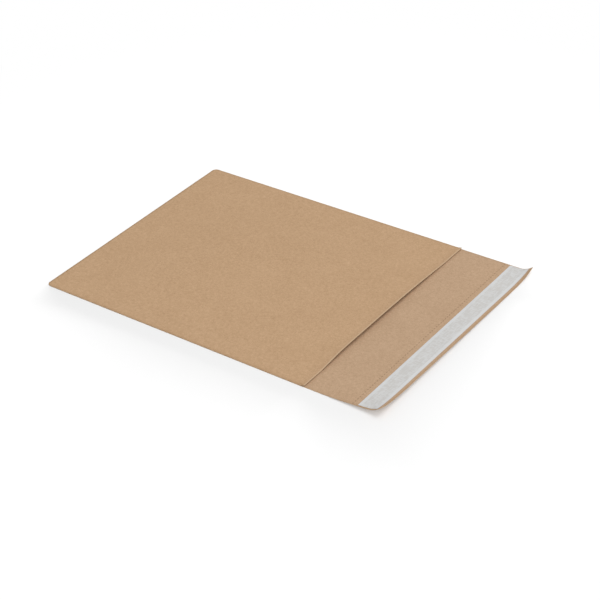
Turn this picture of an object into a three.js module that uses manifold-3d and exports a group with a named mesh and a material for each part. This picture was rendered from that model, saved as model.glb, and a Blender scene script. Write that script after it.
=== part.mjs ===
// Kraft board mailing envelope, lying on its lower panel with the seal flap laid out flat.
// One blank makes it: lower panel, seal flap, closed-end fold, upper panel and two side flaps,
// which are folded in and glued between the panels. A band of adhesive under a peel-off liner
// runs along the seal flap, with a perforated tear line beside it. X is across the pocket,
// Y from the closed end to the flap, Z is up.

import * as THREE from 'three';
import { mergeVertices } from 'three/addons/utils/BufferGeometryUtils.js';
import Module from 'manifold-3d';

const wasm = await Module();
wasm.setup();

// Driving dimensions, in millimetres
const BOARD = 0.5;
const POCKET_WIDTH = 260;
const POCKET_LENGTH = 304;
const FLAP_LENGTH = 78.5;
const CORNER_RADIUS = 5;

const SIDE_FLAP_WIDTH = 24;
const SIDE_FLAP_SLANT = 12;
const SIDE_FLAP_CORNER_CLEARANCE = 1.5;
const SIDE_FLAP_MOUTH_SETBACK = 3;
// Glued layers are pressed into each other by this much, which makes them one body
const GLUE_SINK = 0.06;

const MOUTH_GAP = 5.2;
const SWELL_LENGTH = 120;

const FLAP_RISE = 5.2;
const CORNER_CURL = 4.6;
const CURL_LENGTH = 13;

const LINER_WIDTH = 20;
const LINER_THICKNESS = 0.15;
const LINER_MARGIN = 3.5;
const ADHESIVE_WIDTH = 14;
const ADHESIVE_THICKNESS = 0.2;
const STRIP_END_INSET = 1;
const STRIP_CLEARANCE = 0.06;

const TEAR_LINE_MARGIN = 5.5;
const SLIT_PITCH = 3.7;
const SLIT_LENGTH = 0.9;
const SLIT_WIDTH = 0.4;

// How sharply the curl gathers at the two free corners, and how flat the mouth's arch is on top
const CURL_SHARPNESS = 10;
const ARCH_FLATNESS = 4;

// Longest facets on the curved stretches, and facets round the folds
const ARCH_STEP = 16;
const SEAM_STEP = 3;
const SWELL_STEP = 15;
const FLAP_STEP = 8;
const CURL_STEP = 3;
const CORNER_STEPS = 4;
const FOLD_STEPS = 6;

// Stations that are closer than this are one station, and slopes are taken over this run
const SAME_PLACE = 0.001;
const SLOPE_RUN = 0.02;

// Sizes that follow from the driving dimensions
const SIDE_FOLD_RADIUS = BOARD - GLUE_SINK / 2;
const HALF_SHEET = POCKET_WIDTH / 2 - SIDE_FOLD_RADIUS;
const SEAM_EDGE = POCKET_WIDTH / 2 - SIDE_FLAP_WIDTH;
const END_FOLD_RADIUS = BOARD - GLUE_SINK;
const END_FOLD_Y = END_FOLD_RADIUS + BOARD / 2;
const END_FOLD_LENGTH = Math.PI * END_FOLD_RADIUS;
const UPPER_MIDDLE_Z = BOARD / 2 + 2 * END_FOLD_RADIUS;
const SWELL_RISE = MOUTH_GAP + BOARD - (UPPER_MIDDLE_Z - BOARD / 2);
const FREE_END = POCKET_LENGTH + FLAP_LENGTH;
const CURL_START = FREE_END - CURL_LENGTH;
const LINER_OUTER = FREE_END - LINER_MARGIN;
const LINER_INNER = LINER_OUTER - LINER_WIDTH;
const ADHESIVE_OUTER = LINER_OUTER - (LINER_WIDTH - ADHESIVE_WIDTH) / 2;
const ADHESIVE_INNER = ADHESIVE_OUTER - ADHESIVE_WIDTH;
const STRIP_END = HALF_SHEET - STRIP_END_INSET;
const TEAR_LINE = LINER_INNER - TEAR_LINE_MARGIN;

// Evenly spaced positions from start to end, without the start itself
function evenStations(start, end, count) {
  return Array.from({ length: count }, (_, index) => start + (end - start) * (index + 1) / count);
}

// The same, with as many positions as keep them no further apart than step
function stationsUpTo(start, end, step) {
  return evenStations(start, end, Math.ceil((end - start) / step));
}

function isBetween(value, low, high) {
  return value > low - SAME_PLACE && value < high + SAME_PLACE;
}

// Half the width of the blank at a distance from the closed end, with its corners rounded
function halfWidthAt(y) {
  const inCorner = Math.max(CORNER_RADIUS - y, 0);
  return HALF_SHEET - CORNER_RADIUS + Math.sqrt(CORNER_RADIUS ** 2 - inCorner ** 2);
}

// Height of the upper panel above its flat seams: a flat-topped arch that dies out at the closed end
function swellAt(x, y) {
  const across = Math.min(Math.abs(x) / SEAM_EDGE, 1);
  const along = Math.min(y / SWELL_LENGTH, 1);
  return SWELL_RISE * (1 - across ** ARCH_FLATNESS) ** 2 * (1 - Math.cos(Math.PI * along)) / 2;
}

// Height of the seal flap above the plane of the lower panel: it lies flat at one side, bends up
// towards its free end at the other, and both of its free corners are curled
function flapLiftAt(x, y) {
  const alongFlap = Math.max(y - POCKET_LENGTH, 0) / FLAP_LENGTH;
  const alongCurl = Math.max(y - CURL_START, 0) / CURL_LENGTH;
  const risingSide = (1 + x / HALF_SHEET) / 2;
  const corner = (Math.abs(x) / HALF_SHEET) ** CURL_SHARPNESS;
  return FLAP_RISE * risingSide * alongFlap ** 3 + CORNER_CURL * corner * alongCurl ** 2;
}

// Height of a point at a distance above or below the middle of the flap's board. A plumb line through
// the board is longer where the flap is steep, which keeps the board's thickness
function flapHeightAt(x, y, distance) {
  const slopeAcross = (flapLiftAt(x + SLOPE_RUN, y) - flapLiftAt(x - SLOPE_RUN, y)) / (2 * SLOPE_RUN);
  const slopeAlong = (flapLiftAt(x, y + SLOPE_RUN) - flapLiftAt(x, y - SLOPE_RUN)) / (2 * SLOPE_RUN);
  return BOARD / 2 + flapLiftAt(x, y) + distance * Math.hypot(1, slopeAcross, slopeAlong);
}

// A place on the blank: x across, the way along it from the start of the closed-end fold
// (negative on the lower panel and seal flap), and the face, 1 outside and -1 inside
function placeOnBlank(x, along, face) {
  const offset = face * BOARD / 2;
  if (along <= 0) {
    const y = END_FOLD_Y - along;
    const narrowing = halfWidthAt(y) / HALF_SHEET;
    return [x * narrowing, y, flapHeightAt(x, y, -offset)];
  }
  if (along < END_FOLD_LENGTH) {
    const turn = along / END_FOLD_RADIUS;
    const radius = END_FOLD_RADIUS + offset;
    const narrowing = halfWidthAt(END_FOLD_Y - END_FOLD_RADIUS * Math.sin(turn)) / HALF_SHEET;
    const z = BOARD / 2 + END_FOLD_RADIUS - radius * Math.cos(turn);
    return [x * narrowing, END_FOLD_Y - radius * Math.sin(turn), z];
  }
  const y = END_FOLD_Y + along - END_FOLD_LENGTH;
  const narrowing = halfWidthAt(y) / HALF_SHEET;
  return [x * narrowing, y, UPPER_MIDDLE_Z + offset + swellAt(x, y)];
}

// A closed sheet whose grid of stations is put in place by a function
function bentSheet(acrossStations, alongStations, place) {
  const columns = acrossStations.length - 1;
  const rows = alongStations.length - 1;
  const geometry = new THREE.BoxGeometry(columns, rows, 1, columns, rows, 1);
  const position = geometry.getAttribute('position');
  const grid = new THREE.Vector3();
  for (let index = 0; index < position.count; index += 1) {
    grid.fromBufferAttribute(position, index);
    const across = acrossStations[Math.round(grid.x + columns / 2)];
    const along = alongStations[Math.round(grid.y + rows / 2)];
    position.setXYZ(index, ...place(across, along, Math.sign(grid.z)));
  }
  return joined(geometry);
}

function joined(geometry) {
  geometry.deleteAttribute('normal');
  geometry.deleteAttribute('uv');
  return mergeVertices(geometry);
}

function solidOf(geometry) {
  return new wasm.Manifold(new wasm.Mesh({
    numProp: 3,
    vertProperties: new Float32Array(geometry.getAttribute('position').array),
    triVerts: new Uint32Array(geometry.index.array),
  }));
}

function geometryOf(solid) {
  const mesh = solid.getMesh();
  const geometry = new THREE.BufferGeometry();
  geometry.setAttribute('position', new THREE.BufferAttribute(mesh.vertProperties, mesh.numProp));
  geometry.setIndex(new THREE.BufferAttribute(mesh.triVerts, 1));
  geometry.computeVertexNormals();
  return geometry;
}

// Stations across the blank, from one side to the other
const halfStations = [
  ...stationsUpTo(0, SEAM_EDGE, ARCH_STEP),
  ...stationsUpTo(SEAM_EDGE, STRIP_END, SEAM_STEP),
  HALF_SHEET,
];
const acrossStations = [...halfStations.map((x) => -x).reverse(), 0, ...halfStations];
const stripAcross = acrossStations.filter((x) => isBetween(x, -STRIP_END, STRIP_END));

// Distances from the closed end at which the blank bends, on the flap, in the corners and on the swell
const flapBreaks = [CURL_START, LINER_INNER, ADHESIVE_INNER, ADHESIVE_OUTER, LINER_OUTER, FREE_END];
flapBreaks.sort((a, b) => a - b);
const curlBreaks = flapBreaks.filter((y, index) => index === 0 || y - flapBreaks[index - 1] > SAME_PLACE);
const flapStations = [POCKET_LENGTH, ...stationsUpTo(POCKET_LENGTH, curlBreaks[0], FLAP_STEP)];
for (const [index, end] of curlBreaks.slice(1).entries()) {
  flapStations.push(...stationsUpTo(curlBreaks[index], end, CURL_STEP));
}
const cornerStart = Math.acos(1 - END_FOLD_Y / CORNER_RADIUS);
const cornerTurns = evenStations(cornerStart, Math.PI / 2, CORNER_STEPS);
const cornerStations = cornerTurns.map((turn) => CORNER_RADIUS * (1 - Math.cos(turn)));
const swellStations = [...stationsUpTo(CORNER_RADIUS, SWELL_LENGTH, SWELL_STEP), POCKET_LENGTH];

function buildBlank() {
  const lower = [...cornerStations, ...flapStations].map((y) => END_FOLD_Y - y).reverse();
  const fold = evenStations(0, END_FOLD_LENGTH, FOLD_STEPS);
  const upper = [...cornerStations, ...swellStations].map((y) => y - END_FOLD_Y + END_FOLD_LENGTH);
  return solidOf(bentSheet(acrossStations, [...lower, 0, ...fold, ...upper], placeOnBlank));
}

// Side flap on one side of the pocket: a leg glued between the panels, and its half-round fold
const sideFlapStart = CORNER_RADIUS + SIDE_FLAP_CORNER_CLEARANCE;
const sideFlapEnd = POCKET_LENGTH - SIDE_FLAP_MOUTH_SETBACK;

function buildSideFlapLeg(side) {
  const outline = new THREE.Shape();
  outline.moveTo(side * HALF_SHEET, sideFlapStart);
  outline.lineTo(side * HALF_SHEET, sideFlapEnd);
  outline.lineTo(side * SEAM_EDGE, sideFlapEnd - SIDE_FLAP_SLANT);
  outline.lineTo(side * SEAM_EDGE, sideFlapStart + SIDE_FLAP_SLANT);
  outline.closePath();
  const leg = new THREE.ExtrudeGeometry(outline, { depth: BOARD, bevelEnabled: false });
  leg.translate(0, 0, BOARD - GLUE_SINK);
  return solidOf(joined(leg));
}

function buildSideFold(side) {
  const section = new THREE.Shape();
  section.moveTo(side * (HALF_SHEET - BOARD), 0);
  section.lineTo(side * HALF_SHEET, 0);
  section.absarc(side * HALF_SHEET, SIDE_FOLD_RADIUS, SIDE_FOLD_RADIUS, -Math.PI / 2, Math.PI / 2, side < 0);
  section.lineTo(side * (HALF_SHEET - BOARD), 2 * SIDE_FOLD_RADIUS);
  section.closePath();
  const depth = sideFlapEnd - sideFlapStart;
  const fold = new THREE.ExtrudeGeometry(section, { depth, bevelEnabled: false, curveSegments: FOLD_STEPS });
  fold.rotateX(Math.PI / 2);
  fold.translate(0, sideFlapEnd, 0);
  return solidOf(joined(fold));
}

// The slits of the tear line, evenly spaced across the flap and long enough to go right through it
function buildSlits() {
  const count = Math.floor(2 * HALF_SHEET / SLIT_PITCH);
  const depth = 2 * (BOARD + FLAP_RISE);
  return Array.from({ length: count }, (_, index) => {
    const slit = new THREE.BoxGeometry(SLIT_LENGTH, SLIT_WIDTH, depth);
    slit.translate((index - (count - 1) / 2) * SLIT_PITCH, TEAR_LINE, 0);
    return solidOf(joined(slit));
  });
}

function buildEnvelope() {
  let envelope = buildBlank();
  for (const side of [-1, 1]) {
    envelope = envelope.add(buildSideFlapLeg(side)).add(buildSideFold(side));
  }
  for (const slit of buildSlits()) {
    envelope = envelope.subtract(slit);
  }
  return geometryOf(envelope);
}

// A place on a thin strip that lies along the seal flap at a height above its inner face
function placeOnStrip(x, y, face, height, thickness) {
  const rise = height + thickness * (1 + face) / 2;
  return [x, y, flapHeightAt(x, y, BOARD / 2 + rise)];
}

// The facets of the adhesive run the other way from those of the board under it and of the liner on
// top of it, so that faces which meet bend along the same diagonals and keep their clearance
function buildAdhesive() {
  const along = flapStations.filter((y) => isBetween(y, ADHESIVE_INNER, ADHESIVE_OUTER));
  const place = (y, x, face) => placeOnStrip(x, y, face, STRIP_CLEARANCE, ADHESIVE_THICKNESS);
  return bentSheet(along, [...stripAcross].reverse(), place);
}

function buildLiner() {
  const along = flapStations.filter((y) => isBetween(y, LINER_INNER, LINER_OUTER));
  const height = STRIP_CLEARANCE + ADHESIVE_THICKNESS + STRIP_CLEARANCE;
  return bentSheet(stripAcross, along, (x, y, face) => placeOnStrip(x, y, face, height, LINER_THICKNESS));
}

const pieces = [
  { name: 'envelope', geometry: buildEnvelope(), color: 0xbe9e7b, roughness: 0.85 },
  { name: 'adhesive_strip', geometry: buildAdhesive(), color: 0xe4dcc6, roughness: 0.4 },
  { name: 'release_liner', geometry: buildLiner(), color: 0xd0ceca, roughness: 0.55 },
];

const part = new THREE.Group();
part.position.y = -FREE_END / 2;
for (const { name, geometry, color, roughness } of pieces) {
  const mesh = new THREE.Mesh(geometry, new THREE.MeshStandardMaterial({ color, roughness, metalness: 0 }));
  mesh.name = name;
  part.add(mesh);
}

export default part;
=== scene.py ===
"""Looks of a kraft board mailing envelope, laid out as a Blender add-on and run as a script."""

import math

import bmesh
import bpy
from mathutils import Color, Matrix, Vector, noise


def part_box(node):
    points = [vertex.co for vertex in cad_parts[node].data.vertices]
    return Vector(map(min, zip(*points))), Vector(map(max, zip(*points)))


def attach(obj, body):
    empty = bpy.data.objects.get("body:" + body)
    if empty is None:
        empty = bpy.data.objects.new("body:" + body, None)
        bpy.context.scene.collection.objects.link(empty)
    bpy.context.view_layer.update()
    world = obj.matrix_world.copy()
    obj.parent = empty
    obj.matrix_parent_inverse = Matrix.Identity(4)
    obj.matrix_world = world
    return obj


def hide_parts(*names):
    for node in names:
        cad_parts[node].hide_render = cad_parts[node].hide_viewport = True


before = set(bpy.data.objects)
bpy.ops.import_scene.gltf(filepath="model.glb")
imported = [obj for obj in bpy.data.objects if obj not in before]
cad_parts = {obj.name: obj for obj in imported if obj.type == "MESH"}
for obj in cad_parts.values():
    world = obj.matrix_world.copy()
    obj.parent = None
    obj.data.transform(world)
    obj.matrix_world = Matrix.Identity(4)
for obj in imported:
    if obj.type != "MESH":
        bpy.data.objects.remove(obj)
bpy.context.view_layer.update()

bl_info = {
    "name": "Kraft Board Envelope",
    "version": (1, 0, 0),
    "blender": (4, 5, 0),
    "location": "View3D > Sidebar > Envelope",
    "description": "Builds a kraft board envelope with a seal flap, an adhesive film and a release liner",
    "category": "Object",
}

MM = 0.001
FULL_LEVEL = 255


# Properties

def length(name, description, millimetres):
    """A length, with its default in millimetres."""
    return bpy.props.FloatProperty(
        name=name,
        description=description,
        default=millimetres * MM,
        precision=5,
        subtype="DISTANCE",
        unit="LENGTH",
    )


def angle(name, description, degrees):
    """An angle, with its default in degrees."""
    return bpy.props.FloatProperty(
        name=name,
        description=description,
        default=math.radians(degrees),
        subtype="ANGLE",
        unit="ROTATION",
    )


def lens_length(name, description, millimetres):
    """A focal length, with its default in millimetres."""
    return bpy.props.FloatProperty(
        name=name,
        description=description,
        default=millimetres,
        precision=3,
        subtype="DISTANCE_CAMERA",
        unit="CAMERA",
    )


def lamp_power(name, description, watts):
    """The power of a lamp, with its default in watts."""
    return bpy.props.FloatProperty(
        name=name,
        description=description,
        default=watts,
        min=0.0,
        unit="POWER",
    )


def portion(name, description, default):
    """A share from 0 to 1."""
    return bpy.props.FloatProperty(
        name=name,
        description=description,
        default=default,
        min=0.0,
        max=1.0,
        precision=3,
        subtype="FACTOR",
    )


def colour(name, description, red, green, blue):
    """A colour, with its default in screen levels from 0 to 255."""
    levels = Color((red, green, blue)) / FULL_LEVEL
    return bpy.props.FloatVectorProperty(
        name=name,
        description=description,
        default=tuple(levels.from_srgb_to_scene_linear()),
        min=0.0,
        max=1.0,
        size=3,
        subtype="COLOR",
    )


class EnvelopeSizes(bpy.types.PropertyGroup):
    """Sizes of the envelope's sheet, folds, seal flap and strips."""

    board: length("Board", "Thickness of the pressed board", 0.32)
    seam_height: length("Seam height", "Height of the three board layers along the sides", 1.0)
    fold_height: length("Fold height", "Height of the two board layers at the closed end", 0.68)
    pocket_length: length("Pocket length", "Closed end to the edge of the mouth", 304)
    corner_radius: length("Corner radius", "Rounding of the two closed corners", 5)
    side_flap_width: length("Side flap width", "Width of the glued side flaps", 24)
    side_flap_slant: length("Side flap slant", "How far the ends of the side flaps slant", 12)
    side_flap_start: length("Side flap start", "Closed end to the start of the side flaps", 6.5)
    side_flap_setback: length("Side flap setback", "Mouth to the end of the side flaps", 3)
    mouth_rise: length("Mouth rise", "How far the upper panel arches at the mouth", 3.0)
    mouth_lean: length("Mouth lean", "How far the top of the arch is off the middle", 40)
    mouth_skew: length("Mouth skew", "How much longer the upper panel is at one side", 1.1)
    lip_rise: length("Lip rise", "How far the very edge of the mouth stands up", 1.05)
    lip_length: length("Lip length", "Depth of the edge that stands up", 6)
    swell_length: length("Swell length", "Closed end to where the arch is full", 120)
    waviness: length("Waviness", "Unevenness of the upper panel where nothing holds it", 0.1)
    flap_rise: length("Flap rise", "How far the free end of the flap bends up at one side", 5.2)
    flap_flat: length("Flap flat", "Middle of the flap to where it still lies flat at the other side", 100)
    corner_curl: length("Corner curl", "How far the free corner curls up at the side that bends", 4.6)
    flat_curl: length("Flat curl", "How far the free corner curls up at the other side", 5.8)
    curl_length: length("Curl length", "Depth of the curled corners", 13)
    tear_line_margin: length("Tear line margin", "Liner to the tear line", 5.5)
    slit_length: length("Slit length", "Length of a slit in the tear line", 0.9)
    slit_width: length("Slit width", "Width of a slit in the tear line", 0.2)
    slits: bpy.props.IntProperty(name="Slits", description="Slits in the tear line", default=70, min=1)
    adhesive: length("Adhesive", "Thickness of the adhesive film", 0.24)
    liner: length("Liner", "Thickness of the release liner", 0.13)
    glue_gap: length("Glue gap", "Clearance between stuck layers", 0.015)


class EnvelopeFinish(bpy.types.PropertyGroup):
    """Colours of the envelope's surfaces."""

    outside: colour("Outside", "Kraft board, outer face", 190, 156, 121)
    inside: colour("Inside", "Kraft board, inner face", 188, 157, 127)
    # Also painted along the mouth's lip as a highlight.
    cut_edge: colour("Cut edge", "Bare fibres along a cut edge", 208, 180, 148)
    # Also used for the painted shade around the tear slits.
    dark_fibre: colour("Dark fibre", "Dark fibres and specks in the board", 112, 82, 56)
    pale_fibre: colour("Pale fibre", "Pale fibres in the board", 216, 190, 158)
    liner_middle: colour("Liner middle", "Liner where it is stuck down", 203, 201, 198)
    liner_border: colour("Liner border", "Liner along its free borders", 216, 217, 217)
    adhesive: colour("Adhesive", "Adhesive film", 228, 220, 198)


class EnvelopeStage(bpy.types.PropertyGroup):
    """Camera, lamps and floor."""

    azimuth: angle("Azimuth", "Camera's turn about the vertical", 127.774)
    elevation: angle("Elevation", "Camera's height angle", 34.105)
    roll: angle("Roll", "Camera's turn about its own axis", -3.424)
    distance: length("Distance", "Camera to the point that it looks at", 1474.2)
    target_x: length("Target X", "Point that the camera looks at, across", 23.19)
    target_y: length("Target Y", "Point that the camera looks at, along", 31.19)
    lens: lens_length("Lens", "Focal length of the camera", 95.2)
    sky: portion("Sky", "Light from all around", 0.46)
    key: lamp_power("Key", "Power of the high key lamp", 144)
    fill: lamp_power("Fill", "Power of the fill lamp near the camera", 45)
    front: lamp_power("Front", "Power of the lamp near the camera that only lights the floor", 100)
    low: lamp_power("Low", "Power of the low lamp that only lights the floor", 2520)
    floor_glow: portion("Floor glow", "How far the floor is lifted to white", 0.055)
    floor_radius: length("Floor radius", "Where the floor starts to be plain white", 300)


# Shader nodes

MIX_FACTOR = 0
MIX_COLOURS = (6, 7)
MIX_RESULT = 2
MIDDLE = 0.5


class Wire:
    """An output socket. Arithmetic with wires and numbers adds Math nodes."""

    def __init__(self, finish, socket):
        self.finish = finish
        self.socket = socket

    def combine(self, operation, first, second):
        """A Math node on two values."""
        return self.finish.add("ShaderNodeMath", {"operation": operation}, {0: first, 1: second})

    def __add__(self, other):
        return self.combine("ADD", self, other)

    def __sub__(self, other):
        return self.combine("SUBTRACT", self, other)

    def __rsub__(self, other):
        return self.combine("SUBTRACT", other, self)

    def __mul__(self, other):
        return self.combine("MULTIPLY", self, other)

    def __truediv__(self, other):
        return self.combine("DIVIDE", self, other)

    def __rtruediv__(self, other):
        return self.combine("DIVIDE", other, self)

    __radd__ = __add__
    __rmul__ = __mul__

    def within(self, pitch):
        """The distance from the middle of the cell that the value falls into."""
        return (self.combine("FRACT", self / pitch, 0.0) - MIDDLE).absolute() * pitch

    def swing(self, strength):
        """Noise as a swing about 0, times a strength."""
        return (self - MIDDLE) * strength

    def absolute(self):
        """The value without its sign."""
        return self.combine("ABSOLUTE", self, 0.0)

    def least(self, other):
        """The smaller of two values."""
        return self.combine("MINIMUM", self, other)

    def most(self, other):
        """The larger of two values."""
        return self.combine("MAXIMUM", self, other)

    def between(self, low, high):
        """A soft step from 0 at low to 1 at high."""
        settings = {"interpolation_type": "SMOOTHSTEP"}
        sockets = {"Value": self, "From Min": low, "From Max": high}
        return self.finish.add("ShaderNodeMapRange", settings, sockets)


class Finish:
    """A procedural material while its nodes are added."""

    def __init__(self, name):
        self.material = bpy.data.materials.new(name)
        self.material.use_nodes = True
        self.tree = self.material.node_tree
        self.shader = self.tree.nodes["Principled BSDF"]

    def add(self, kind, settings=None, sockets=None, output=0):
        """A node of a kind, with its settings made first and then its sockets fed."""
        node = self.tree.nodes.new(kind)
        for name, value in (settings or {}).items():
            setattr(node, name, value)
        self.feed(node, sockets or {})
        return Wire(self, node.outputs[output])

    def feed(self, node, sockets):
        """Links or values for the sockets of a node."""
        for key, value in sockets.items():
            if isinstance(value, Wire):
                self.tree.links.new(value.socket, node.inputs[key])
            else:
                node.inputs[key].default_value = value

    def places(self):
        """Object coordinates, in metres."""
        return self.add("ShaderNodeTexCoord", output="Object")

    def axes(self, places):
        """The X, Y and Z of a place."""
        first = self.add("ShaderNodeSeparateXYZ", sockets={"Vector": places})
        return [first] + [Wire(self, first.socket.node.outputs[index]) for index in (1, 2)]

    def grain(self, places, size, turn=0.0, shift=0.0, detail=2.0):
        """Noise whose blotches have a size along three axes, turned about the vertical."""
        sockets = {
            "Vector": places,
            "Location": (shift, shift, 0.0),
            "Rotation": (0.0, 0.0, turn),
            "Scale": size,
        }
        turned = self.add("ShaderNodeMapping", {"vector_type": "TEXTURE"}, sockets)
        return self.add("ShaderNodeTexNoise", sockets={"Vector": turned, "Scale": 1.0, "Detail": detail})

    def blend(self, factor, first, second):
        """A mix of two colours."""
        sockets = {MIX_FACTOR: factor, MIX_COLOURS[0]: first, MIX_COLOURS[1]: second}
        return self.add("ShaderNodeMix", {"data_type": "RGBA"}, sockets, MIX_RESULT)

    def shades(self, factor, base, darker, paler):
        """A mix of a darker and a paler shade of a colour, given in screen levels."""
        return self.blend(factor, shaded(base, -darker), shaded(base, paler))

    def bump(self, height, strength, distance):
        """A normal that follows a height."""
        sockets = {"Height": height, "Strength": strength, "Distance": distance}
        return self.add("ShaderNodeBump", sockets=sockets)


def shaded(base, levels=0):
    """A colour with alpha, made lighter or darker by screen levels from 0 to 255."""
    screen = Color(base).from_scene_linear_to_srgb()
    moved = [min(max(channel + levels / FULL_LEVEL, 0.0), 1.0) for channel in screen]
    return (*Color(moved).from_srgb_to_scene_linear(), 1.0)


def edge_band(distance, widths, share):
    """A share along an edge that fades out between two distances from it."""
    return (1 - distance.between(*widths)) * share


# Kraft board

FIBRE_TURNS = (0.25, 1.15, 2.3)
FIBRE_SIZE = (2.6 * MM, 0.16 * MM, 0.4 * MM)
FLECK_SIZE = (1.9 * MM, 0.22 * MM, 0.5 * MM)
CLOUD_SIZE = (34 * MM, 46 * MM, 40 * MM)
FLOC_SIZE = (2.0 * MM, 2.6 * MM, 2.2 * MM)
MOTTLE_SIZE = (6.0 * MM, 8.0 * MM, 7.0 * MM)
TOOTH_SIZE = (0.7 * MM, 0.8 * MM, 0.7 * MM)
INSIDE_SHIFT = 0.7
SHADE_RANGE = 20
CLOUD_SHARE = 0.2
MOTTLE_SHARE = 0.2
FLOC_SHARE = 0.65
TOOTH_SHARE = 0.9
FIBRE_MIDDLE = 0.6
PALE_FIBRES = (FIBRE_MIDDLE, 0.78)
PALE_SHARE = 0.35
DARK_HOLLOWS = (0.24, 0.36)
HOLLOW_SHARE = 0.25
DARK_FLECKS = (0.71, 0.77)
FLECK_SHARE = 0.55
EDGE_WANDER = 1 * MM
# Painted shade, with some crease marks, along the sides and the flap's free end.
CREASE_AND_SHADE_WIDTHS = (0.5 * MM, 2.4 * MM)
CREASE_AND_SHADE_SHARE = 0.45
# Painted shade, with some crease marks, at the closed-end fold.
FOLD_AND_SHADE_WIDTHS = (0.8 * MM, 2.6 * MM)
FOLD_AND_SHADE_SHARE = 0.6
UPPER_PANEL_HEIGHTS = (0.7 * MM, 0.9 * MM)
# Painted highlight, with some rubbing, along the lip of the mouth.
RUB_AND_HIGHLIGHT_WIDTHS = (0.6 * MM, 1.9 * MM)
RUB_AND_HIGHLIGHT_SHARE = 0.8
# Painted shade, with some pressed board, around each tear slit.
PRESS_AND_SHADE_WIDTHS = (0.4 * MM, 1.1 * MM)
PRESS_AND_SHADE_SHARE = 0.75
PRESS_AND_SHADE_FLATNESS = 2
FIBRE_HEIGHT = 0.5
TOOTH_HEIGHT = 0.3
FLOC_HEIGHT = 0.4
KRAFT_ROUGHNESS = 0.74
MOTTLE_ROUGHNESS = 0.2
FIBRE_ROUGHNESS = 0.25
BOARD_SHEEN = 0.1
PAPER_RELIEF = 0.05 * MM


def kraft_finish(name, base, colours, blank, shift=0.0):
    """Uncoated kraft board: cloudy pulp, pale and dark fibres, specks, edges marked by use and pressed
    slits, with painted shade along the folds, edges and slits and a painted highlight along the mouth's
    lip.
    """
    finish = Finish(name)
    places = finish.places()
    cloud = finish.grain(places, CLOUD_SIZE, shift=shift)
    mottle = finish.grain(places, MOTTLE_SIZE, shift=shift, detail=3.0)
    floc = finish.grain(places, FLOC_SIZE, FIBRE_TURNS[0], shift)
    tooth = finish.grain(places, TOOTH_SIZE, FIBRE_TURNS[1], shift, detail=1.0)
    layers = [finish.grain(places, FIBRE_SIZE, turn, shift + turn) for turn in FIBRE_TURNS]
    fibres = layers[0].most(layers[1]).most(layers[2])
    hollows = layers[0].least(layers[1]).least(layers[2])
    flecks = finish.grain(places, FLECK_SIZE, FIBRE_TURNS[1], shift - FIBRE_TURNS[0], detail=1.0)

    shade = MIDDLE + cloud.swing(CLOUD_SHARE) + mottle.swing(MOTTLE_SHARE)
    shade = shade + floc.swing(FLOC_SHARE) + tooth.swing(TOOTH_SHARE)
    pulp = finish.shades(shade, base, SHADE_RANGE, SHADE_RANGE)
    pale = fibres.between(*PALE_FIBRES) * PALE_SHARE
    dark = (1 - hollows.between(*DARK_HOLLOWS)) * HOLLOW_SHARE + flecks.between(*DARK_FLECKS) * FLECK_SHARE
    fibred = finish.blend(pale, pulp, shaded(colours.pale_fibre))
    fibred = finish.blend(dark, fibred, shaded(colours.dark_fibre))

    across, along, up = finish.axes(places)
    wander = floc.swing(EDGE_WANDER)
    from_side = (blank.half_sheet - across.absolute()).least(blank.free_end - along)
    from_fold = along - blank.closed_end
    mouth = blank.mouth + (1 - across / blank.half_sheet) * (blank.sizes.mouth_skew / 2)
    below_panel = (1 - up.between(*UPPER_PANEL_HEIGHTS)) * blank.half_sheet
    from_mouth = (along - mouth).absolute() + below_panel
    from_tear_line = (along - blank.tear_line).absolute() * PRESS_AND_SHADE_FLATNESS
    from_slit = across.within(blank.slit_pitch).most(from_tear_line)
    # Darker band along the sides and the flap's free end: painted shade, with some crease marks.
    creased_and_shaded = edge_band(from_side + wander, CREASE_AND_SHADE_WIDTHS, CREASE_AND_SHADE_SHARE)
    # Darker band at the closed-end fold: painted shade where the fold turns from the light, with some
    # crease marks.
    folded = edge_band(from_fold + wander, FOLD_AND_SHADE_WIDTHS, FOLD_AND_SHADE_SHARE)
    # Paler band along the mouth's lip: painted highlight in the cut edge's colour, with some rubbing.
    rubbed_and_lit = edge_band(from_mouth + wander, RUB_AND_HIGHLIGHT_WIDTHS, RUB_AND_HIGHLIGHT_SHARE)
    # Dark ring around each tear slit: painted shade of the slit, with some pressed board.
    pressed = edge_band(from_slit, PRESS_AND_SHADE_WIDTHS, PRESS_AND_SHADE_SHARE)
    # Painted shade along the edges and the fold, then the painted highlight at the mouth and the painted
    # shade around the slits.
    worn_and_shaded = finish.blend(creased_and_shaded, fibred, shaded(base, -SHADE_RANGE))
    worn_and_shaded = finish.blend(folded, worn_and_shaded, shaded(base, -2 * SHADE_RANGE))
    worn_and_shaded = finish.blend(rubbed_and_lit, worn_and_shaded, shaded(colours.cut_edge))
    worn_and_shaded = finish.blend(pressed, worn_and_shaded, shaded(colours.dark_fibre))

    height = fibres * FIBRE_HEIGHT + tooth * TOOTH_HEIGHT + floc * FLOC_HEIGHT
    roughness = KRAFT_ROUGHNESS + mottle.swing(MOTTLE_ROUGHNESS) + (fibres - FIBRE_MIDDLE) * FIBRE_ROUGHNESS
    finish.feed(finish.shader, {
        "Base Color": worn_and_shaded,
        "Roughness": roughness,
        "Normal": finish.bump(height, strength=0.3, distance=PAPER_RELIEF),
        "Specular IOR Level": BOARD_SHEEN,
    })
    return finish.material


# Cut edge of the board

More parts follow.
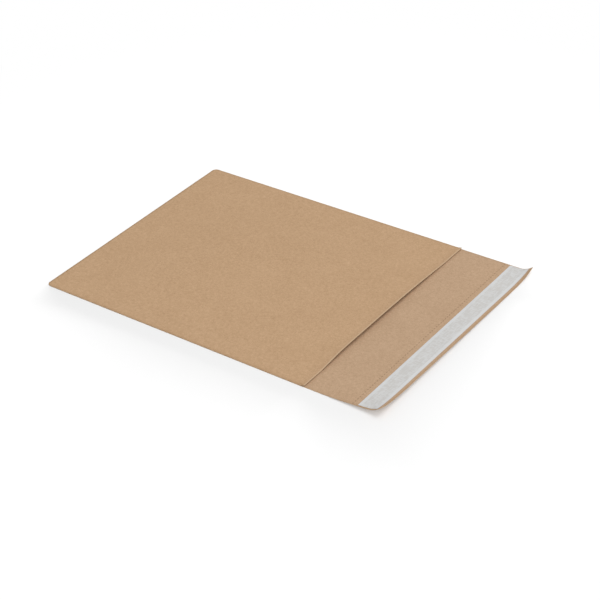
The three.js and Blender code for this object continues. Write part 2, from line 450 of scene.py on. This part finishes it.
LAYER_SIZE = (1.6 * MM, 1.6 * MM, 0.06 * MM)
FUZZ_SIZE = (0.2 * MM, 0.2 * MM, 0.2 * MM)
LAYER_DARKER = 32
LAYER_PALER = 18
FUZZ_TIPS = (0.58, 0.74)
TIP_SHARE = 0.35
TIP_PALER = 6
LAYER_HEIGHT = 0.6
FUZZ_HEIGHT = 0.4
EDGE_ROUGHNESS = 0.86
FUZZ_ROUGHNESS = 0.2


def cut_edge_finish(colours):
    """Raw cut edge of the board, with its fibres in thin layers."""
    finish = Finish("cut_edge")
    places = finish.places()
    layers = finish.grain(places, LAYER_SIZE, detail=3.0)
    fuzz = finish.grain(places, FUZZ_SIZE)
    pulp = finish.shades(layers, colours.cut_edge, LAYER_DARKER, LAYER_PALER)
    tips = fuzz.between(*FUZZ_TIPS) * TIP_SHARE
    height = layers * LAYER_HEIGHT + fuzz * FUZZ_HEIGHT
    finish.feed(finish.shader, {
        "Base Color": finish.blend(tips, pulp, shaded(colours.pale_fibre, TIP_PALER)),
        "Roughness": EDGE_ROUGHNESS + fuzz.swing(FUZZ_ROUGHNESS),
        "Normal": finish.bump(height, strength=0.5, distance=PAPER_RELIEF),
        "Specular IOR Level": BOARD_SHEEN,
    })
    return finish.material


# Release liner

DRIFT_SIZE = (22 * MM, 9 * MM, 20 * MM)
DRIFT = 1.2 * MM
STUCK_OUTSIDE = 0.3 * MM
STUCK_INSIDE = 0.7 * MM
LINER_CLOUD_SIZE = (26 * MM, 11 * MM, 20 * MM)
LENGTHWAYS_SIZE = (6 * MM, 1.3 * MM, 2 * MM)
CROSSWAYS_SIZE = (1.3 * MM, 6 * MM, 2 * MM)
LINER_TOOTH_SIZE = (0.35 * MM, 0.35 * MM, 0.35 * MM)
LINER_CLOUD_SHARE = 0.2
LINER_CLOUD_SWING = 0.5
LINER_CLOUD_DARKER = 14
PALE_WEAVE = (0.42, 0.6)
WEAVE_SHARE = 0.6
WEAVE_HEIGHT = 0.7
LINER_TOOTH_HEIGHT = 0.3
STUCK_HEIGHT = 0.6
LINER_ROUGHNESS = 0.5
LINER_CLOUD_ROUGHNESS = 0.16
LINER_TOOTH_ROUGHNESS = 0.1
LINER_SHEEN = 0.3


def liner_finish(colours, blank):
    """Silicone-coated paper: greyer where it is stuck down, pale along its free borders."""
    finish = Finish("release_liner")
    places = finish.places()
    along = finish.axes(places)[1] + finish.grain(places, DRIFT_SIZE).swing(DRIFT)
    inner = along.between(blank.adhesive_inner - STUCK_OUTSIDE, blank.adhesive_inner + STUCK_INSIDE)
    outer = along.between(blank.adhesive_outer - STUCK_INSIDE, blank.adhesive_outer + STUCK_OUTSIDE)
    stuck = inner * (1 - outer)
    cloud = finish.grain(places, LINER_CLOUD_SIZE, detail=3.0)
    lengthways = finish.grain(places, LENGTHWAYS_SIZE)
    crossways = finish.grain(places, CROSSWAYS_SIZE)
    tooth = finish.grain(places, LINER_TOOTH_SIZE)
    weave = (lengthways + crossways) / 2
    base = finish.blend(stuck, shaded(colours.liner_border), shaded(colours.liner_middle))
    clouded = cloud.swing(LINER_CLOUD_SWING) + LINER_CLOUD_SHARE
    cloudy = finish.blend(clouded, base, shaded(colours.liner_middle, -LINER_CLOUD_DARKER))
    woven = weave.between(*PALE_WEAVE) * WEAVE_SHARE
    height = weave * WEAVE_HEIGHT + tooth * LINER_TOOTH_HEIGHT + stuck * STUCK_HEIGHT
    roughness = LINER_ROUGHNESS + cloud.swing(LINER_CLOUD_ROUGHNESS) + tooth.swing(LINER_TOOTH_ROUGHNESS)
    finish.feed(finish.shader, {
        "Base Color": finish.blend(woven, cloudy, shaded(colours.liner_border)),
        "Roughness": roughness,
        "Normal": finish.bump(height, strength=0.3, distance=PAPER_RELIEF),
        "Specular IOR Level": LINER_SHEEN,
    })
    return finish.material


# Adhesive film

ROPE_SIZE = (30 * MM, 1.1 * MM, 4 * MM)
BUBBLE_SIZE = (0.6 * MM, 0.6 * MM, 0.6 * MM)
ROPE_DARKER = 12
ROPE_PALER = 6
ROPE_HEIGHT = 0.7
BUBBLE_HEIGHT = 0.3
FILM_ROUGHNESS = 0.28
BUBBLE_ROUGHNESS = 0.2
FILM_SHEEN = 0.5
FILM_RELIEF = 0.08 * MM


def adhesive_finish(colours):
    """Hot-melt film: pale, glossy and slightly ropy."""
    finish = Finish("adhesive_film")
    places = finish.places()
    ropes = finish.grain(places, ROPE_SIZE)
    bubbles = finish.grain(places, BUBBLE_SIZE)
    height = ropes * ROPE_HEIGHT + bubbles * BUBBLE_HEIGHT
    finish.feed(finish.shader, {
        "Base Color": finish.shades(ropes, colours.adhesive, ROPE_DARKER, ROPE_PALER),
        "Roughness": FILM_ROUGHNESS + bubbles.swing(BUBBLE_ROUGHNESS),
        "Normal": finish.bump(height, strength=0.4, distance=FILM_RELIEF),
        "Specular IOR Level": FILM_SHEEN,
    })
    return finish.material


# Shape of the folded sheet

ARCH_FLATNESS = 4
CURL_SHARPNESS = 10
WAVE_LENGTH = 70 * MM
PANEL_STEP = 7 * MM
SWELL_STEP = 4 * MM
FLAP_STEP = 3 * MM
CURL_STEP = 1 * MM
CORNER_STEPS = 10
FOLD_STEPS = 10
SLOPE_RUN = 0.02 * MM
SAME_PLACE = 0.02 * MM
STEP_SLACK = 0.001


def stretch_stations(start, end, step):
    """Places from start to end, without the start, no further apart than step."""
    count = math.ceil(abs(end - start) / step - STEP_SLACK)
    return [start + (end - start) * (index + 1) / count for index in range(count)]


class Blank:
    """The sheet that the envelope is folded from, and where its points go."""

    def __init__(self, sizes):
        low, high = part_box("envelope")
        adhesive_low, adhesive_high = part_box("adhesive_strip")
        liner_low, liner_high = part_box("release_liner")
        self.sizes = sizes
        self.layer_pitch = (sizes.seam_height - sizes.board) / 2
        self.lower_z = sizes.board / 2
        self.upper_z = self.lower_z + 2 * self.layer_pitch
        self.half_sheet = high.x - (self.layer_pitch + sizes.board) / 2
        self.seam_edge = high.x - sizes.side_flap_width
        self.closed_end = low.y
        self.free_end = high.y
        self.mouth = low.y + sizes.pocket_length
        self.fold_radius = (sizes.fold_height - sizes.board) / 2
        self.fold_y = low.y + sizes.fold_height / 2
        self.fold_length = math.pi * self.fold_radius
        self.curl_start = high.y - sizes.curl_length
        self.adhesive_inner = adhesive_low.y
        self.adhesive_outer = adhesive_high.y
        self.liner_inner = liner_low.y
        self.liner_outer = liner_high.y
        self.strip_end = liner_high.x
        self.tear_line = liner_low.y - sizes.tear_line_margin
        self.slit_pitch = 2 * self.half_sheet / sizes.slits
        self.slit_inset = (self.slit_pitch - sizes.slit_length) / 2
        self.tear_row = sizes.slit_width / 2 + self.slit_inset

    def half_width(self, y):
        """Half the sheet's width, with the closed corners rounded."""
        radius = self.sizes.corner_radius
        in_corner = max(radius - (y - self.closed_end), 0.0)
        return self.half_sheet - radius + math.sqrt(max(radius ** 2 - in_corner ** 2, 0.0))

    def swell(self, x, y):
        """Height of the upper panel above its glued sides."""
        offset = x - self.sizes.mouth_lean
        room = self.seam_edge - math.copysign(self.sizes.mouth_lean, offset)
        across = min(abs(offset) / room, 1.0)
        along = min((y - self.closed_end) / self.sizes.swell_length, 1.0)
        free = (1 - across ** ARCH_FLATNESS) ** 2 * (1 - math.cos(math.pi * along)) / 2
        wave = noise.noise(Vector((x, y, 0.0)) / WAVE_LENGTH)
        lip = max(1 - (self.mouth - y) / self.sizes.lip_length, 0.0) ** 2
        return free * (self.sizes.mouth_rise + wave * self.sizes.waviness) + lip * self.sizes.lip_rise

    def lift(self, x, y):
        """Height of the seal flap above the lower panel."""
        along_flap = max(y - self.mouth, 0.0) / (self.free_end - self.mouth)
        along_curl = max(y - self.curl_start, 0.0) / self.sizes.curl_length
        rising_side = max(x + self.sizes.flap_flat, 0.0) / (self.half_sheet + self.sizes.flap_flat)
        rise = self.sizes.flap_rise * rising_side * along_flap ** 2
        curl = self.sizes.corner_curl if x > 0 else self.sizes.flat_curl
        return rise + curl * (abs(x) / self.half_sheet) ** CURL_SHARPNESS * along_curl ** 2

    def over_flap(self, x, y, distance):
        """A point at a distance above the middle of the flap's board."""
        slope_x = (self.lift(x + SLOPE_RUN, y) - self.lift(x - SLOPE_RUN, y)) / (2 * SLOPE_RUN)
        slope_y = (self.lift(x, y + SLOPE_RUN) - self.lift(x, y - SLOPE_RUN)) / (2 * SLOPE_RUN)
        normal = Vector((-slope_x, -slope_y, 1.0)).normalized()
        return Vector((x, y, self.lower_z + self.lift(x, y))) + normal * distance

    def place(self, fraction, along):
        """A point of the sheet: a fraction of its half width, and the way from the closed-end fold."""
        if along <= 0:
            y = self.fold_y - along
            return self.over_flap(fraction * self.half_width(y), y, 0.0)
        if along < self.fold_length:
            turn = along / self.fold_radius
            y = self.fold_y - self.fold_radius * math.sin(turn)
            z = self.lower_z + self.fold_radius * (1 - math.cos(turn))
            return Vector((fraction * self.half_width(y), y, z))
        y = self.fold_y + along - self.fold_length
        x = fraction * self.half_width(y)
        skew = self.sizes.mouth_skew * (1 - fraction) / 2 * (y - self.fold_y) / self.sizes.pocket_length
        opened = min((y - self.fold_y) / (self.sizes.side_flap_start + self.closed_end - self.fold_y), 1.0)
        z = self.upper_z - (self.sizes.seam_height - self.sizes.fold_height) * (1 - opened) ** 2
        return Vector((x, y + skew, z + self.swell(x, y)))

    def corner_rows(self):
        """Rows through the rounded corner, from the fold to the straight side."""
        radius = self.sizes.corner_radius
        start = math.acos(1 - (self.fold_y - self.closed_end) / radius)
        turns = stretch_stations(start, math.pi / 2, (math.pi / 2 - start) / CORNER_STEPS)
        return [self.closed_end + radius * (1 - math.cos(turn)) for turn in turns]

    def rows_through(self, start, stretches):
        """Rows from start through stretches, each given by its end and its longest step."""
        rows = []
        for end, step in stretches:
            rows += stretch_stations(start, end, step)
            start = end
        return rows

    def lower_rows(self):
        """Rows of the lower panel and the seal flap, from the fold outwards."""
        corner = self.corner_rows()
        return corner + self.rows_through(corner[-1], (
            (self.closed_end + self.sizes.side_flap_start, PANEL_STEP),
            (self.mouth - self.sizes.side_flap_setback, PANEL_STEP),
            (self.mouth, PANEL_STEP),
            (self.tear_line - self.tear_row, FLAP_STEP),
            (self.tear_line + self.tear_row, 2 * self.tear_row),
            (self.liner_inner, FLAP_STEP),
            (self.curl_start, FLAP_STEP),
            (self.free_end, CURL_STEP),
        ))

    def upper_rows(self):
        """Rows of the upper panel, from the fold to the mouth."""
        corner = self.corner_rows()
        return corner + self.rows_through(corner[-1], ((self.mouth, SWELL_STEP),))


# Pieces

STRIP_COLUMNS = 140
FILM_LINES = 14
LINER_LINES = 26
FILM_WANDER = 0.04
FILM_WANDER_LENGTH = 9 * MM
LINER_DROOP = 0.6
LINER_RIPPLE = 0.5
LINER_RIPPLE_LENGTH = 12 * MM
LINER_RIPPLE_LAYER = 1.0
BOARD_ROUNDING = 0.06 * MM
FILM_ROUNDING = 0.08 * MM
LINER_ROUNDING = 0.03 * MM
ROUNDING_SEGMENTS = 2
ROUNDED_ANGLE = math.radians(50)


def bent_grid(fractions, rows, place):
    """A grid of stations that a function puts in place."""
    sheet = bmesh.new()
    columns = len(fractions) - 1
    lines = len(rows) - 1
    bmesh.ops.create_grid(sheet, x_segments=columns, y_segments=lines, size=1.0)
    for vert in sheet.verts:
        column = round((vert.co.x + 1) / 2 * columns)
        line = round((vert.co.y + 1) / 2 * lines)
        vert.co = place(fractions[column], rows[line])
    sheet.normal_update()
    return sheet


def even_fractions(count):
    """Fractions from -1 to 1 that part a width in equal columns."""
    return [2 * index / count - 1 for index in range(count + 1)]


def cut_slits(sheet, blank):
    """Cuts a slit into every face of the row on the tear line."""
    row = []
    for face in sheet.faces:
        middle = face.calc_center_median()
        if abs(middle.y - blank.tear_line) < blank.tear_row / 2:
            row.append(face)
    bmesh.ops.inset_individual(sheet, faces=row, thickness=blank.slit_inset, use_even_offset=True)
    bmesh.ops.delete(sheet, geom=row, context="FACES")


def fold_side_flap(sheet, blank, side):
    """Folds a side flap up from an edge of the lower panel and lays it inwards."""
    sizes = blank.sizes
    start = blank.closed_end + sizes.side_flap_start
    end = blank.mouth - sizes.side_flap_setback
    edges = []
    for edge in sheet.edges:
        on_side = all(
            abs(vert.co.x - side * blank.half_sheet) < SAME_PLACE
            and abs(vert.co.z - blank.lower_z) < SAME_PLACE
            and start - SAME_PLACE < vert.co.y < end + SAME_PLACE
            for vert in edge.verts
        )
        if on_side:
            edges.append(edge)
    verts = list(dict.fromkeys(vert for edge in edges for vert in edge.verts))
    centre = (side * blank.half_sheet, 0.0, blank.lower_z + blank.layer_pitch / 2)
    folded = bmesh.ops.spin(
        sheet,
        geom=verts + edges,
        cent=centre,
        axis=(0.0, -side, 0.0),
        angle=math.pi,
        steps=FOLD_STEPS,
    )
    rim = [item for item in folded["geom_last"] if isinstance(item, bmesh.types.BMEdge)]
    leg = bmesh.ops.extrude_edge_only(sheet, edges=rim)
    middle = (start + end) / 2
    narrowing = 1 - sizes.side_flap_slant / (end - middle)
    for vert in leg["geom"]:
        if isinstance(vert, bmesh.types.BMVert):
            vert.co.x = side * blank.seam_edge
            vert.co.y = middle + (vert.co.y - middle) * narrowing


def point_outwards(sheet, is_underside):
    """Turns all faces the same way, with those of the underside looking down."""
    bmesh.ops.recalc_face_normals(sheet, faces=sheet.faces)
    sheet.normal_update()
    underside = next(face for face in sheet.faces if is_underside(face))
    if underside.normal.z > 0:
        bmesh.ops.reverse_faces(sheet, faces=sheet.faces)


def finished_piece(sheet, name, materials, thickness, node, rounding):
    """An object made of a sheet with a thickness, riding on the frame in place of a node."""
    mesh = bpy.data.meshes.new(name)
    sheet.to_mesh(mesh)
    sheet.free()
    mesh.shade_smooth()
    for material in materials:
        mesh.materials.append(material)
    piece = bpy.data.objects.new(name, mesh)
    bpy.context.scene.collection.objects.link(piece)
    wall = piece.modifiers.new("wall", "SOLIDIFY")
    wall.thickness = thickness
    wall.offset = 0.0
    wall.use_even_offset = True
    wall.material_offset = min(1, len(materials) - 1)
    wall.material_offset_rim = len(materials) - 1
    edges = piece.modifiers.new("soft_edges", "BEVEL")
    edges.width = rounding
    edges.segments = ROUNDING_SEGMENTS
    edges.limit_method = "ANGLE"
    edges.angle_limit = ROUNDED_ANGLE
    edges.harden_normals = True
    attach(piece, "root")
    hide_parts(node)


class ENVELOPE_OT_board(bpy.types.Operator):
    """Fold the board of the envelope from one sheet"""

    bl_idname = "envelope.fold_board"
    bl_label = "Fold board"

    def execute(self, context):
        blank = Blank(context.scene.envelope_sizes)
        colours = context.scene.envelope_finish
        lower = [blank.fold_y - y for y in blank.lower_rows()]
        fold = stretch_stations(0.0, blank.fold_length, blank.fold_length / FOLD_STEPS)
        upper = [y - blank.fold_y + blank.fold_length for y in blank.upper_rows()]
        rows = lower[::-1] + [0.0] + fold + upper
        sheet = bent_grid(even_fractions(blank.sizes.slits), rows, blank.place)
        cut_slits(sheet, blank)
        for side in (-1, 1):
            fold_side_flap(sheet, blank, side)
        point_outwards(sheet, lambda face: face.calc_center_median().z < blank.lower_z + SAME_PLACE)
        materials = (
            kraft_finish("kraft_outside", colours.outside, colours, blank),
            kraft_finish("kraft_inside", colours.inside, colours, blank, INSIDE_SHIFT),
            cut_edge_finish(colours),
        )
        finished_piece(
            sheet,
            "envelope_board",
            materials,
            thickness=blank.sizes.board,
            node="envelope",
            rounding=BOARD_ROUNDING,
        )
        return {"FINISHED"}


class ENVELOPE_OT_adhesive(bpy.types.Operator):
    """Lay the adhesive film along the seal flap"""

    bl_idname = "envelope.lay_adhesive"
    bl_label = "Lay adhesive"

    def execute(self, context):
        blank = Blank(context.scene.envelope_sizes)
        sizes = blank.sizes
        height = (sizes.board + sizes.adhesive) / 2 + sizes.glue_gap
        middle = (blank.adhesive_inner + blank.adhesive_outer) / 2
        reach = (blank.adhesive_outer - blank.adhesive_inner) / 2

        def place(fraction, across):
            """A point of the film, whose borders wander a little."""
            x = fraction * blank.strip_end
            wander = 1 + FILM_WANDER * noise.noise(Vector((x / FILM_WANDER_LENGTH, across, 0.0)))
            return blank.over_flap(x, middle + across * reach * wander, height)

        sheet = bent_grid(even_fractions(STRIP_COLUMNS), even_fractions(FILM_LINES), place)
        point_outwards(sheet, lambda face: True)
        materials = (adhesive_finish(context.scene.envelope_finish),)
        finished_piece(
            sheet,
            "adhesive_film",
            materials,
            thickness=sizes.adhesive,
            node="adhesive_strip",
            rounding=FILM_ROUNDING,
        )
        return {"FINISHED"}


class ENVELOPE_OT_liner(bpy.types.Operator):
    """Lay the release liner over the adhesive film"""

    bl_idname = "envelope.lay_liner"
    bl_label = "Lay liner"

    def execute(self, context):
        blank = Blank(context.scene.envelope_sizes)
        sizes = blank.sizes
        stuck = sizes.board / 2 + sizes.adhesive + 2 * sizes.glue_gap + sizes.liner / 2
        droop = sizes.adhesive * LINER_DROOP
        middle = (blank.liner_inner + blank.liner_outer) / 2
        reach = (blank.liner_outer - blank.liner_inner) / 2
        stuck_reach = (blank.adhesive_outer - blank.adhesive_inner) / 2

        def place(fraction, across):
            """A point of the liner, whose free borders sag beside the film."""
            x = fraction * blank.strip_end
            y = middle + across * reach
            border = max(abs(across) * reach - stuck_reach, 0.0) / (reach - stuck_reach)
            spot = Vector((x / LINER_RIPPLE_LENGTH, across, LINER_RIPPLE_LAYER))
            ripple = 1 + LINER_RIPPLE * noise.noise(spot)
            softened = border * border * (3 - 2 * border)
            return blank.over_flap(x, y, stuck - droop * ripple * softened)

        sheet = bent_grid(even_fractions(STRIP_COLUMNS), even_fractions(LINER_LINES), place)
        point_outwards(sheet, lambda face: True)
        materials = (liner_finish(context.scene.envelope_finish, blank),)
        finished_piece(
            sheet,
            "release_liner_strip",
            materials,
            thickness=sizes.liner,
            node="release_liner",
            rounding=LINER_ROUNDING,
        )
        return {"FINISHED"}


# Stage

WHITE = (1.0, 1.0, 1.0, 1.0)
FLOOR_COLOUR = (0.63, 0.63, 0.63, 1.0)
FLOOR_REACH = 12.0
FLOOR_FADE = 2
SENSOR_WIDTH = 36.0
CLIP_START = 0.01
CLIP_END = 100.0
KEY_PLACE = Vector((-1.2, 1.7, 5.0))
KEY_SIZE = (4.0, 4.0)
FILL_PLACE = Vector((2.6, 2.6, 2.2))
FILL_SIZE = (2.0, 2.0)
FRONT_PLACE = Vector((2.62, 2.03, 2.24))
FRONT_SIZE = (2.0, 2.0)
LOW_PLACE = Vector((-3.5, -1.8, 0.1))
LOW_SIZE = (7.0, 0.18)


def camera_axes(stage):
    """The camera's right, up and backward directions."""
    level = math.cos(stage.elevation)
    back = Vector((
        math.sin(stage.azimuth) * level,
        -math.cos(stage.azimuth) * level,
        math.sin(stage.elevation),
    ))
    right = Vector((0.0, 0.0, 1.0)).cross(back).normalized()
    up = back.cross(right)
    cosine = math.cos(stage.roll)
    sine = math.sin(stage.roll)
    return right * cosine + up * sine, up * cosine - right * sine, back


def set_camera(scene, stage):
    """The camera of the main view."""
    lens = bpy.data.cameras.new("main_camera")
    lens.lens = stage.lens
    lens.sensor_width = SENSOR_WIDTH
    lens.clip_start = CLIP_START
    lens.clip_end = CLIP_END
    camera = bpy.data.objects.new("main_camera", lens)
    scene.collection.objects.link(camera)
    right, up, back = camera_axes(stage)
    turn = Matrix((right, up, back)).transposed().to_4x4()
    target = Vector((stage.target_x, stage.target_y, 0.0))
    camera.matrix_world = Matrix.Translation(target + back * stage.distance) @ turn
    scene.camera = camera


def set_lamp(scene, name, place, size, watts, receivers=None):
    """A large lamp that looks at the middle of the floor and may light only some objects."""
    light = bpy.data.lights.new(name, "AREA")
    light.shape = "RECTANGLE"
    light.size, light.size_y = size
    light.energy = watts
    lamp = bpy.data.objects.new(name, light)
    scene.collection.objects.link(lamp)
    lamp.location = place
    lamp.rotation_euler = (-place).to_track_quat("-Z", "Y").to_euler()
    lamp.light_linking.receiver_collection = receivers


def seen_directly(finish):
    """1 for rays from the camera and for those that mirrors and glass pass on to it."""
    path = finish.add("ShaderNodeLightPath", output="Is Camera Ray")
    outputs = path.socket.node.outputs
    glossy = Wire(finish, outputs["Is Glossy Ray"])
    passed = Wire(finish, outputs["Is Transmission Ray"])
    return path.most(glossy).most(passed)


def floor_finish(stage):
    """White floor that keeps shadows and is seen as plain white further out."""
    finish = Finish("floor")
    finish.tree.nodes.remove(finish.shader)
    seen = seen_directly(finish)
    matt = finish.add("ShaderNodeBsdfDiffuse", sockets={"Color": FLOOR_COLOUR})
    glow = finish.add("ShaderNodeEmission", sockets={"Strength": seen * stage.floor_glow})
    near = finish.add("ShaderNodeAddShader", sockets={0: matt, 1: glow})
    white = finish.add("ShaderNodeEmission", sockets={"Strength": 1.0})
    radius = finish.add("ShaderNodeVectorMath", {"operation": "LENGTH"}, {0: finish.places()}, "Value")
    far = radius.between(stage.floor_radius, FLOOR_FADE * stage.floor_radius)
    surface = finish.add("ShaderNodeMixShader", sockets={0: seen * far, 1: near, 2: white})
    finish.feed(finish.tree.nodes["Material Output"], {"Surface": surface})
    return finish.material


def set_floor(scene, stage):
    """A wide flat floor under the envelope."""
    sheet = bmesh.new()
    bmesh.ops.create_grid(sheet, x_segments=1, y_segments=1, size=FLOOR_REACH)
    mesh = bpy.data.meshes.new("floor")
    sheet.to_mesh(mesh)
    sheet.free()
    mesh.materials.append(floor_finish(stage))
    floor = bpy.data.objects.new("floor", mesh)
    scene.collection.objects.link(floor)
    floor_only = bpy.data.collections.new("floor_only")
    floor_only.objects.link(floor)
    return floor_only


class Surround(Finish):
    """The world's nodes while they are added."""

    def __init__(self, name):
        self.world = bpy.data.worlds.new(name)
        self.world.use_nodes = True
        self.tree = self.world.node_tree
        self.shader = self.tree.nodes["Background"]


def set_world(scene, stage):
    """Even light from all around, white where it is seen directly."""
    surround = Surround("surround")
    seen = seen_directly(surround)
    surround.feed(surround.shader, {"Color": WHITE, "Strength": seen + (1 - seen) * stage.sky})
    scene.world = surround.world


class ENVELOPE_OT_stage(bpy.types.Operator):
    """Set the floor, the lamps, the world and the camera"""

    bl_idname = "envelope.set_stage"
    bl_label = "Set stage"

    def execute(self, context):
        scene = context.scene
        stage = scene.envelope_stage
        scene.view_settings.view_transform = "Standard"
        floor_only = set_floor(scene, stage)
        set_world(scene, stage)
        set_lamp(scene, "key_lamp", KEY_PLACE, KEY_SIZE, stage.key)
        set_lamp(scene, "fill_lamp", FILL_PLACE, FILL_SIZE, stage.fill)
        set_lamp(scene, "front_lamp", FRONT_PLACE, FRONT_SIZE, stage.front, floor_only)
        set_lamp(scene, "low_lamp", LOW_PLACE, LOW_SIZE, stage.low, floor_only)
        set_camera(scene, stage)
        return {"FINISHED"}


class ENVELOPE_PT_builder(bpy.types.Panel):
    """Steps, sizes and colours of the envelope"""

    bl_idname = "ENVELOPE_PT_builder"
    bl_label = "Kraft Board Envelope"
    bl_space_type = "VIEW_3D"
    bl_region_type = "UI"
    bl_category = "Envelope"

    def draw(self, context):
        layout = self.layout
        for step in STEPS:
            layout.operator(step.bl_idname)
        for name in GROUPS:
            group = getattr(context.scene, name)
            box = layout.box()
            for field in group.bl_rna.properties:
                if field.identifier in type(group).__annotations__:
                    box.prop(group, field.identifier)


GROUPS = {
    "envelope_sizes": EnvelopeSizes,
    "envelope_finish": EnvelopeFinish,
    "envelope_stage": EnvelopeStage,
}
STEPS = (ENVELOPE_OT_board, ENVELOPE_OT_adhesive, ENVELOPE_OT_liner, ENVELOPE_OT_stage)
CLASSES = (*GROUPS.values(), *STEPS, ENVELOPE_PT_builder)


def register():
    """Registers the classes and their places on the scene."""
    for item in CLASSES:
        bpy.utils.register_class(item)
    for name, group in GROUPS.items():
        setattr(bpy.types.Scene, name, bpy.props.PointerProperty(type=group))


def unregister():
    """Takes back what register() did."""
    for name in GROUPS:
        delattr(bpy.types.Scene, name)
    for item in reversed(CLASSES):
        bpy.utils.unregister_class(item)


def main():
    """Builds the pieces and the stage."""
    register()
    bpy.ops.envelope.fold_board()
    bpy.ops.envelope.lay_adhesive()
    bpy.ops.envelope.lay_liner()
    bpy.ops.envelope.set_stage()


if __name__ == "__main__":
    main()
